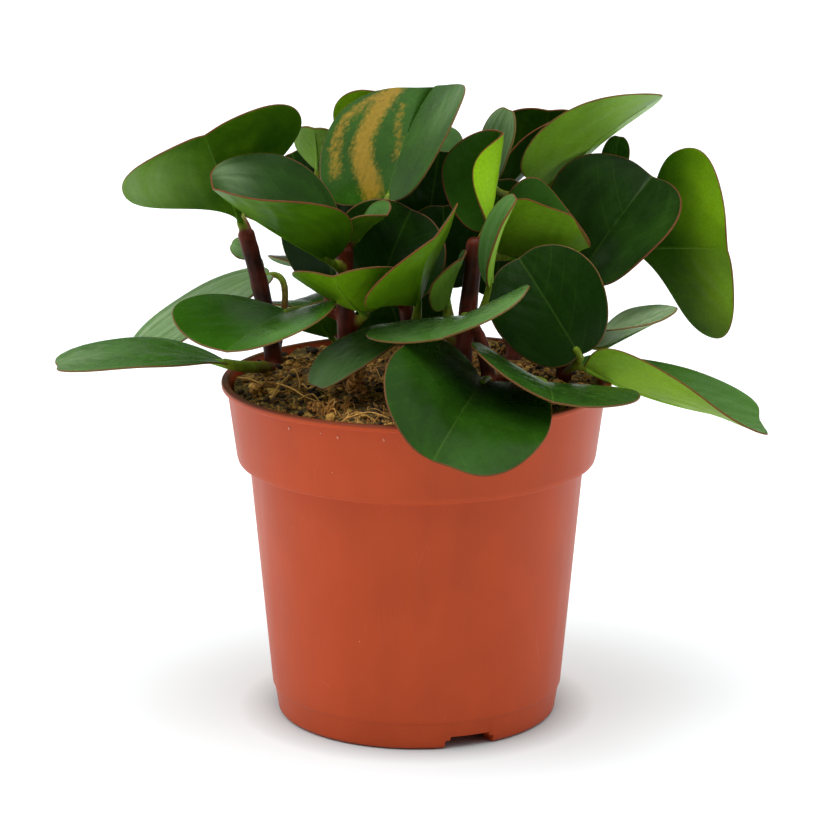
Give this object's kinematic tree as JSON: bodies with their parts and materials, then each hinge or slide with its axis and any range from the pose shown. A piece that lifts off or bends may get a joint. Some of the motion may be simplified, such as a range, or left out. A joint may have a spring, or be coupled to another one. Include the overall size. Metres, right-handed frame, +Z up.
{
  "type": "potted foliage plant",
  "caption": "Bushy thick-leaved foliage plant with cupped round leaves on reddish stems, standing in soil in a round tapered nursery pot with a deep collar.",
  "frame": {"origin": "centre of the bounding box at the level of the pot's foot, within two millimetres of the pot's axis", "axes": "+Z up along the pot's axis, -Y the side that the plant shows to the front, +X to the right seen from the front"},
  "size_m": [0.2186, 0.1618, 0.194],
  "materials": {
    "pot": "satin terracotta-coloured moulded plastic",
    "soil": "matt crumbly peat with plant fibres",
    "stem": "smooth fleshy dark red stem skin, green towards the leaves",
    "leaf": "waxy satin leaf, dark green above and yellow-green below"
  },
  "bodies": {
    "root": {"pot": "pot", "soil": "soil", "stem_left": "stem", "stem_mid_left": "stem", "stem_middle": "stem", "stem_mid_right": "stem", "stem_front": "stem", "stem_right": "stem", "stem_back_right": "stem", "stem_back_left": "stem", "stem_back": "stem", "leaf_upper_left": "leaf", "leaf_cup_left": "leaf", "leaf_broad_left": "leaf", "leaf_small_left": "leaf", "leaf_long_left": "leaf", "leaf_oval_front_left": "leaf", "leaf_shade_left": "leaf", "leaf_cup_middle": "leaf", "leaf_dark_middle": "leaf", "leaf_bright_middle": "leaf", "leaf_young_middle": "leaf", "leaf_variegated": "leaf", "leaf_crown_left": "leaf", "leaf_crown_pale": "leaf", "leaf_crown_dark": "leaf", "leaf_dark_crown": "leaf", "leaf_folded_upright": "leaf", "leaf_pale_upright": "leaf", "leaf_narrow_bright": "leaf", "leaf_olive_low": "leaf", "leaf_dark_low": "leaf", "leaf_crown_right_back": "leaf", "leaf_crown_right": "leaf", "leaf_pointed_right": "leaf", "leaf_small_right": "leaf", "leaf_round_right": "leaf", "leaf_far_right": "leaf", "leaf_cup_right": "leaf", "leaf_dark_round": "leaf", "leaf_pale_right": "leaf", "leaf_long_right": "leaf", "leaf_folded_front": "leaf", "leaf_heart_front": "leaf", "leaf_flat_front": "leaf", "leaf_drooping_front": "leaf", "leaf_back_high": "leaf", "leaf_back_top": "leaf", "leaf_back_middle": "leaf", "leaf_back_left_high": "leaf", "leaf_back_left_low": "leaf", "leaf_back_right_low": "leaf", "leaf_back_right_high": "leaf", "leaf_left_back": "leaf", "leaf_back_left_middle": "leaf", "leaf_back_right_middle": "leaf", "leaf_low_left": "leaf", "leaf_low_middle": "leaf", "leaf_shade_right": "leaf"}
  },
  "joints": []
}
